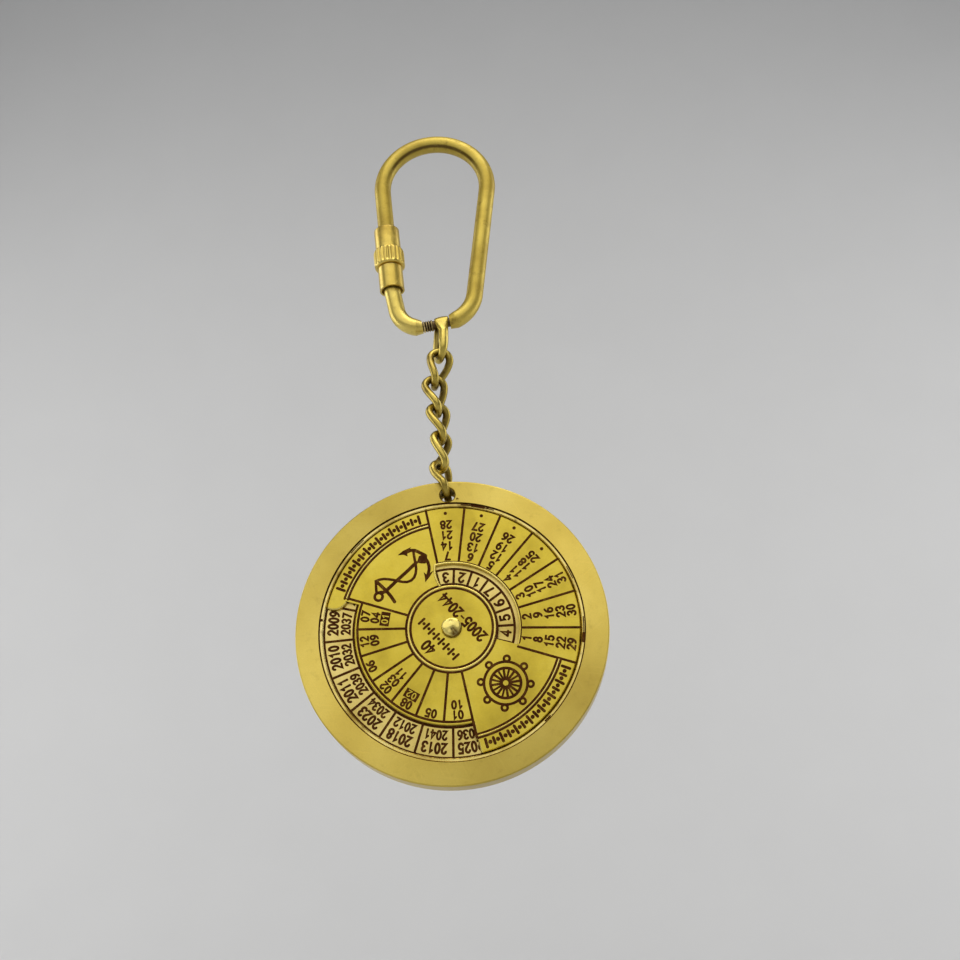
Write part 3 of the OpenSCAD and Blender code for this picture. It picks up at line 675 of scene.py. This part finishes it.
def build_plate_marks(ink_material):
    """Lines, years and weekdays on the plate, painted shadow in the gaps at both sides of the retaining
    ring, and smudges on the ring.
    """
    years_start, days_start = 286.1, 0.6
    ink = Ink(PLATE_FACE)
    # The ring at 18.5 lies in the gap between the dial's edge and the retaining ring and is painted
    # shadow there; the other three are printed lines
    for r, width in ((18.5, 0.3), (14.25, LINE), (9.05, LINE), (6.55, LINE)):
        ink.ring(r, width)
    # Painted shadow as a dark line in the gap along the outer edge of the retaining ring, and smudges
    # just below its crest
    dirt = Ink(1.33, 0.03, 0.05)
    dirt.ring(19.13, 0.15, n=180)
    smudge = Ink(1.4, sunk=0.2)
    for a0, a1, width in ((69, 73, 0.16), (73.5, 79, 0.34), (79.5, 84, 0.2), (-9, -5.5, 0.4),
                          (-5, 2, 0.16), (20, 26, 0.12), (132, 140, 0.14), (312, 315, 0.22)):
        smudge.arc(18.93, a0, a1, width)
    smudge.dot(polar(18.95, 173.5), 0.22)
    smudge.finish("ring_smudges", ink_material, "case", "ring_brass")
    dirt.finish("ring_gap_painted_shadow", ink_material, "case", "ring_brass")
    for k, years in enumerate(year_columns()):
        angle = years_start - CELL * k
        ink.spoke(angle, 14.3, 18.45)
        for year, r, size in zip(years, (17.25, 15.4), (1.35, 1.2)):
            ink.write(str(year), r, angle - CELL / 2 - 0.4, size, wide=0.78)
    for k in range(21):
        ink.spoke(days_start + CELL * k, 6.6, 9.05)
        ink.write("4567123"[k % 7], 7.8, days_start + CELL * (k - 0.5), 1.35, out=False)
    ink.finish("plate_marks", ink_material, "case", "plate_brass")


def build_wheel(ink, mid):
    """A ship's wheel."""
    for r, width in ((3.07, 0.38), (2.16, 0.40), (0.62, 0.46)):
        ink.ring(r, width, mid, max(20, int(r * 18)))
    for k in range(16):
        ink.stroke([polar(r, 96.25 + 22.5 * k, mid) for r in (0.7, 2.1)], 0.30 if k % 2 else 0.36)
    for k in range(8):
        ink.ring(0.42, 0.36, polar(3.52, 85 + 45 * k, mid), 16)


def build_anchor(ink):
    """An anchor with a rope round its shank, drawn on a grid of 104 squares to the millimetre."""
    def at(points):
        return [(-12.5 + x / 104, 13.5 - y / 104) for x, y in points]

    # The ring, the shank and the stock
    ink.ring(0.58, 0.42, at([(210, 862)])[0], 20)
    ink.stroke(at([(262, 806), (330, 770), (500, 612), (640, 490), (790, 350)]), 0.52)
    ink.stroke(at([(182, 622), (330, 775), (400, 870), (452, 955)]), 0.5)
    # The rope
    ink.stroke(at([(178, 800), (172, 700), (170, 612), (220, 592), (290, 584), (360, 592),
                   (430, 606), (500, 626), (580, 648), (650, 652), (710, 630), (755, 585),
                   (780, 520), (788, 450), (782, 380), (768, 300), (758, 230), (752, 180)]), 0.4)
    ink.stroke(at([(180, 800), (250, 785), (320, 795)]), 0.36)
    # The crown, and the two arms with their flukes
    ink.prism(at([(800, 350), (835, 245), (930, 215), (962, 235), (958, 345), (930, 372),
                  (865, 368)]))
    ink.stroke(at([(930, 240), (870, 205), (820, 175), (770, 152), (710, 148), (650, 172)]), 0.5)
    ink.prism(at([(508, 216), (590, 150), (722, 92), (672, 160), (655, 205), (662, 244),
                  (600, 214)]))
    ink.stroke(at([(940, 300), (968, 350), (985, 420), (985, 480), (968, 545)]), 0.47)
    ink.prism(at([(902, 508), (940, 545), (985, 535), (1056, 488), (990, 590), (922, 672),
                  (918, 600)]))


def build_dial_marks(ink_material, brass_material):
    ink = Ink(DIAL_FACE)
    # Rings
    ink.ring(6.55)
    ink.ring(5.93)
    ink.arc(10.02, -16, 101, 0.2)
    ink.arc(13.6, 161.5, 280.8)
    for a0, a1 in ((100.4, 161.4), (281.4, 340.8)):
        ink.arc(16.3, a0, a1)
        ink.arc(15.8, a0, a1)
    # Columns of dates, ordered towards the middle, with a dot in place of a fifth date
    for a in (340.8, 357.1, 374.3, 391.1, 408.1, 425.1, 442.3, 460.3):
        ink.spoke(a, 9.95, 18.3)
    dates = ((29, 22, 15, 8, 1), (30, 23, 16, 9, 2), (31, 24, 17, 10, 3), (0, 25, 18, 11, 4),
             (0, 26, 19, 12, 5), (0, 27, 20, 13, 6), (0, 28, 21, 14, 7))
    mids = (-11.0, 5.7, 22.7, 39.6, 56.6, 73.7, 91.3)
    for column, angle in zip(dates, mids):
        for day, r in zip(column, (17.35, 15.8, 14.15, 12.5, 10.9)):
            if day:
                ink.write(str(day), r, angle, 1.14, out=False, weight=0.28)
            else:
                ink.dot(polar(17.6, angle), 0.26)
    # Columns of months, and the two for leap years as light figures on a dark block
    ends = (280.8, 160.8)
    for a in (280.8, 263.7, 246.5, 229.4, 212.2, 195.1, 178.0, 160.8):
        ink.spoke(a, 6.6, 16.2 if a in ends else 13.6)
    months = (("01", "10"), ("05",), ("08", "B02"), ("02", "03", "11"), ("06",), ("12", "09"),
              ("07", "04", "B01"))
    light = Ink(DIAL_FACE, 0.03, -0.005)
    corners = ((-0.68, 1.05), (-0.68, -1.05), (0.68, -1.05), (0.68, 1.05))
    for k, column in enumerate(months):
        angle = 272.2 - 17.15 * k
        for label, r in zip(column, (12.65, 11.2, 9.75)):
            if label[0] == "B":
                ink.prism([rotated(r + u, v, angle) for u, v in corners])
                light.write(label[1:], r, angle, 0.86, weight=0.2, wide=1)
            else:
                ink.write(label, r, angle, 1.08, weight=0.28)
    # The two bands round the pictures: rows of bars and dots
    steps = 28
    for start, end in ((284.5, 337.5), (104.5, 157.5)):
        for i in range(steps + 1):
            a = start + (end - start) * i / steps
            if i % 2:
                ink.dot(polar(17.32, a), 0.3)
            else:
                r0, r1 = (16.9, 17.75) if i % 4 else (16.75, 17.9)
                ink.spoke(a, r0, r1, 0.42)
    # The middle: the span of years, and a row of bars and dots
    way, size = 131.0, 1.45
    ink.write_straight("2005", (3.27, -0.38), way, size)
    ink.write_straight("2044", (-0.02, 3.38), way, size)
    ink.stroke([(1.78, 1.32), (1.46, 1.68)], 0.26)
    ink.write_straight("40", (-3.4, -2.75), way, size)
    step, half_bar = 0.52, 0.52
    c, d = half_bar * sin(radians(way)), -half_bar * cos(radians(way))
    for i in range(-7, 8):
        x, y = polar(i * step, way, (-1.9, -1.55))
        if i % 2:
            ink.stroke([(x - c, y - d), (x + c, y + d)], 0.36)
        else:
            ink.dot((x, y), 0.24)
    build_wheel(ink, (7.4, -8.45))
    build_anchor(ink)
    light.finish("dial_light_figures", brass_material, "dial", "dial_brass")
    ink.finish("dial_marks", ink_material, "dial", "dial_brass")


def bead(path, section, closed):
    """A rounded bead along a path of (x, y). section lists (offset to the right of the path, height)."""
    p = [Vector(q) for q in path]
    n, m, points = len(p), len(section), []
    for i in range(n):
        a, b = (p[i - 1], p[(i + 1) % n]) if closed else (p[max(0, i - 1)], p[min(n - 1, i + 1)])
        way = (b - a).normalized()
        side = Vector((way.y, -way.x))
        for off, high in section:
            q = p[i] + side * off
            points.append(Vector((CASE_MID[0] + q.x, -high, CASE_MID[1] + q.y)))
    faces = [(i * m + j, i * m + (j + 1) % m, (i + 1) % n * m + (j + 1) % m, (i + 1) % n * m + j)
             for i in range(n if closed else n - 1) for j in range(m)]
    if not closed:
        faces += [tuple(range(m)), tuple(range(n * m - 1, (n - 1) * m - 1, -1))]
    return points, faces


def build_beads(material):
    """Polished edges of the openings in the dial, and raised beads between its double lines, in a brass
    made paler than the dial's as a painted highlight.
    """
    points, faces = [], []

    def put(path, section, closed=False):
        more, sides = bead(path, section, closed)
        faces.extend(tuple(i + len(points) for i in f) for f in sides)
        points.extend(more)

    face, low = DIAL_FACE, 0.92
    edge = ([(-0.1, low), (-0.1, face - 0.02), (0.04, face - 0.04)]
            + [(0.04 + 0.2 * sin(radians(a)), 0.98 + (face - 1.02) * cos(radians(a)))
               for a in range(15, 91, 15)] + [(0.24, low)])
    rib = arc(0, face - 0.01, 0.16, 0.075, 180, 0, 9)

    def ridge(half, high):
        return arc(0, face - 0.01, -half, high, 0, 180, 9) + [(half, low), (-half, low)]

    # The window: its bulging end and its outer side stand proud a little
    half, bulge, mid_r, steps = 2.025, 0.45, (WINDOW_IN + WINDOW_OUT) / 2, 12
    bulge_r = (half ** 2 + bulge ** 2) / (2 * bulge)
    start = WINDOW_IN + 0.05
    path = []
    for i in range(steps + 1):
        x = start + (WINDOW_OUT - start) * i / steps
        y = bulge - bulge_r + sqrt(bulge_r ** 2 - (x - mid_r) ** 2)
        path.append(rotated(x, y, WINDOW_TO))
    put(path, ridge(0.18, 0.15))
    put(arc(0, 0, WINDOW_OUT, WINDOW_OUT, 103, -17.3, 100), ridge(0.12, 0.06))
    put(arc(0, 0, WINDOW_IN, WINDOW_IN, -17.3, 103, 80), edge)
    # The two ends of the cut over the years: a straight one, and a round one on the band's end
    put([polar(r, CUT_TO) for r in (14.1, 15.5, 17, 18.4)], edge)
    cut_from, r = 161.7, 1.81
    tongue = [q for q in arc(*polar(17.83, cut_from), r, r, cut_from - 8, cut_from + 182, 50)
              if q[0] ** 2 + q[1] ** 2 < 18.4 ** 2 and degrees(atan2(q[1], q[0])) % 360 > 162.6]
    put(tongue, edge)
    # Between the double lines
    put(arc(0, 0, 6.24, 6.24, 0, 360, 160)[:-1], rib, True)
    for a0, a1 in ((100.8, 161.0), (CUT_TO, 340.4)):
        put(arc(0, 0, 16.05, 16.05, a0, a1, 60), [(0.7 * x, h) for x, h in rib])
    o = new_object("dial_beads", points, faces, material)
    o.data.set_sharp_from_angle(angle=radians(50))
    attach(o, "dial")


# ---------------------------------------------------------------- stage
def build_stage():
    """A floor that curves up into a backdrop."""
    m, t = new_material("stage_paper")
    coords = add(t, "TexCoord").outputs["Object"]
    greys = [(0.3, (0.64, 0.64, 0.64)), (0.7, (0.65, 0.65, 0.65))]
    colour = ramp(t, noise(t, coords, 30.0, 2.0), greys)
    shader = add(t, "BsdfPrincipled", Base_Color=colour, Roughness=0.8)
    add(t, "OutputMaterial", Surface=shader.outputs["BSDF"])
    floor, near, back, top, bend, half = -165, -1500, 420, 1500, 160, 1200
    curve = [(back - bend + bend * sin(radians(a)), floor + bend - bend * cos(radians(a)))
             for a in range(0, 91, 6)]
    profile = [(near, floor)] + curve + [(back, top)]
    points = [Vector((x, y, z)) for y, z in profile for x in (-half, half)]
    faces = [(2 * i, 2 * i + 1, 2 * i + 3, 2 * i + 2) for i in range(len(profile) - 1)]
    o = new_object("backdrop", points, faces, m)


def softbox(name, at, target, size, power, colour=(1, 1, 1)):
    light = bpy.data.lights.new(name, "AREA")
    light.shape, light.size, light.size_y = "RECTANGLE", size[0] * MM, size[1] * MM
    light.energy, light.color = power, colour
    o = bpy.data.objects.new(name, light)
    o.location = Vector(at) * MM
    o.rotation_euler = (Vector(target) - Vector(at)).to_track_quat("-Z", "Y").to_euler()
    bpy.context.scene.collection.objects.link(o)


def build_lights():
    world = bpy.data.worlds.new("studio")
    world.use_nodes = True
    background = world.node_tree.nodes["Background"]
    background.inputs["Color"].default_value = (0.95, 0.97, 1, 1)
    background.inputs["Strength"].default_value = 0.22
    bpy.context.scene.world = world
    bpy.context.scene.view_settings.view_transform = "Standard"
    warm, chain, wall = (1, 0.98, 0.94), (0, 0, -60), (0, 300, -120)
    softbox("key", (-60, -440, 130), chain, (820, 380), 0.92, warm)
    softbox("left_wash", (-420, 90, 60), wall, (300, 500), 0.9)
    softbox("right_wash", (420, 90, 60), wall, (300, 500), 0.9)
    softbox("top", (30, -170, 300), chain, (360, 220), 0.75, warm)


def add_camera():
    roll, pan, tilt = radians(ROLL), radians(PAN), radians(TILT)
    turn = Matrix.Rotation(roll, 3, "Y")
    forward = Vector((sin(pan) * cos(tilt), cos(pan) * cos(tilt), sin(tilt)))
    right = Vector((cos(pan), -sin(pan), 0))
    rise = right.cross(forward)
    right, rise, back = turn @ right, turn @ rise, -(turn @ forward)
    camera = bpy.data.cameras.new("camera")
    camera.sensor_width = SENSOR_W
    camera.lens = FOCAL / PHOTO_W * SENSOR_W
    camera.clip_start, camera.clip_end = 0.005, 20
    o = bpy.data.objects.new("camera", camera)
    place = Matrix([[right[i], rise[i], back[i]] for i in range(3)]).to_4x4()
    place.translation = Vector(CAMERA_AT) * MM
    o.matrix_world = place
    bpy.context.scene.collection.objects.link(o)
    bpy.context.scene.camera = o


# ---------------------------------------------------------------- the scene
add_camera()
# Deep, middle and pale colour, roughness and tarnish
# The clip's brass carries a painted dark reflection in a band inside its arch
clip_brass = brass("clip_brass", (0.39, 0.275, 0.040), (0.54, 0.405, 0.070), (0.68, 0.53, 0.11),
                   0.5, 0.6, arch=True)
gate_brass = brass("gate_brass", (0.54, 0.41, 0.08), (0.74, 0.58, 0.14), (0.86, 0.70, 0.20), 0.36, 0.4)
hood_brass = brass("hood_brass", (0.36, 0.26, 0.045), (0.56, 0.43, 0.085), (0.74, 0.58, 0.14),
                   0.34, 0.5)
lock_brass = brass("lock_brass", (0.42, 0.29, 0.05), (0.62, 0.45, 0.085), (0.74, 0.57, 0.14),
                   0.34, 0.35)
pin_brass = brass("pin_brass", (0.05, 0.025, 0.01), (0.10, 0.06, 0.02), (0.20, 0.13, 0.04),
                  0.40, 0.6, ridges=(0.75, 0.60, 0.26))
link_brass = brass("link_brass", (0.26, 0.18, 0.03), (0.43, 0.32, 0.055), (0.60, 0.46, 0.10),
                   0.32, 0.7)
case_brass = brass("case_brass", (0.63, 0.455, 0.075), (0.72, 0.54, 0.10), (0.80, 0.62, 0.135),
                   0.36, 0.22, turned=0.2, cloud=75.0)
plate_brass = brass("plate_brass", (0.54, 0.40, 0.09), (0.72, 0.56, 0.16), (0.80, 0.64, 0.22),
                    0.38, 0.25)
ring_brass = brass("ring_brass", (0.36, 0.24, 0.04), (0.70, 0.55, 0.15), (0.88, 0.74, 0.30),
                   0.26, 0.85)
# Polished brass for the beads, painted paler still as a highlight
bead_highlight_brass = brass("bead_highlight_brass", (0.60, 0.44, 0.07), (0.78, 0.61, 0.13), (0.88, 0.73, 0.22), 0.26, 0.3)
dial_brass = brass("dial_brass", (0.50, 0.37, 0.030), (0.63, 0.48, 0.045), (0.68, 0.54, 0.07),
                   0.36, 0.15, scuffed=0.12)
rivet_brass = brass("rivet_brass", (0.72, 0.54, 0.09), (0.96, 0.78, 0.20), (1.0, 0.89, 0.31),
                    0.28, 0.15)
# Nodes that aren't named here, the links and the end link, are of link_brass
FINISH = {
    "clip_frame": clip_brass, "gate_arm": gate_brass, "swivel_ring": hood_brass,
    "leg_bush": lock_brass, "lock_nut": lock_brass, "gate_ferrule": lock_brass,
    "pivot_pin": pin_brass, "case_base": case_brass, "calendar_plate": plate_brass,
    "retaining_ring": ring_brass, "friction_washer": rivet_brass, "dial": dial_brass,
    "centre_rivet": rivet_brass, "back_washer": ring_brass,
}
for name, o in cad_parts.items():
    finish = FINISH.get(name, link_brass)
    if not o.material_slots:
        o.data.materials.append(finish)
    for slot in o.material_slots:
        slot.material = finish

ink_material = enamel()
build_links(build_swivel_ring(hood_brass), link_brass)
build_plate_marks(ink_material)
build_dial_marks(ink_material, dial_brass)
build_beads(bead_highlight_brass)
build_nut(lock_brass)
build_pin(pin_brass)
build_rivet(rivet_brass)
build_stage()
build_lights()
